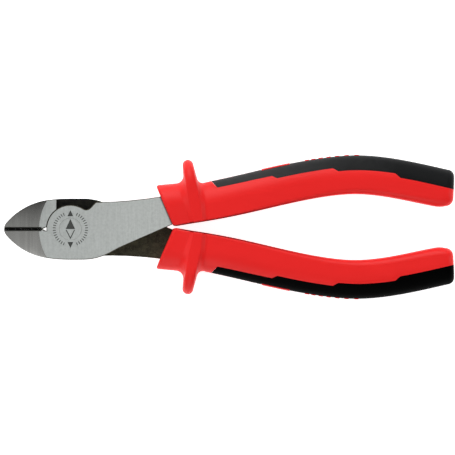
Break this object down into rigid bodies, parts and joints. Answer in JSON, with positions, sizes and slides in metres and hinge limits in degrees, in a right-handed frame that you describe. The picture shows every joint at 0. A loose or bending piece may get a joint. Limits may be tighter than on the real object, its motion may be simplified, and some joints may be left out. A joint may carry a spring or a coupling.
{
  "type": "diagonal cutting pliers",
  "caption": "Insulated diagonal cutting pliers: lap-jointed levers on a flush rivet, with guarded two-colour grips.",
  "frame": {"origin": "on the pivot's axis, at the flat back of the head, which is the rivet's flush rear end", "axes": "+X from the pivot along the closed tool to the handles' ends, +Z along the pivot axis out of the front face, +Y towards the front lever's handle"},
  "size_m": [0.1998, 0.0644, 0.0184],
  "materials": {
    "ground_steel": "finely ground and polished faces, forged dark where they are not ground",
    "red_plastic": "satin moulded insulation",
    "dark_soft_plastic": "matte soft-touch overmould"
  },
  "bodies": {
    "rear_half": {"rear_lever": "ground_steel", "pivot_rivet": "ground_steel", "lower_grip_core": "red_plastic", "lower_grip_pad": "dark_soft_plastic"},
    "front_half": {"front_lever": "ground_steel", "upper_grip_core": "red_plastic", "upper_grip_pad": "dark_soft_plastic"}
  },
  "joints": [
    {"name": "pivot_hinge", "type": "hinge", "parent": "rear_half", "child": "front_half", "pos_m": [0, 0, 0.006], "axis": [0, 0, 1], "range_deg": [0, 68]}
  ]
}
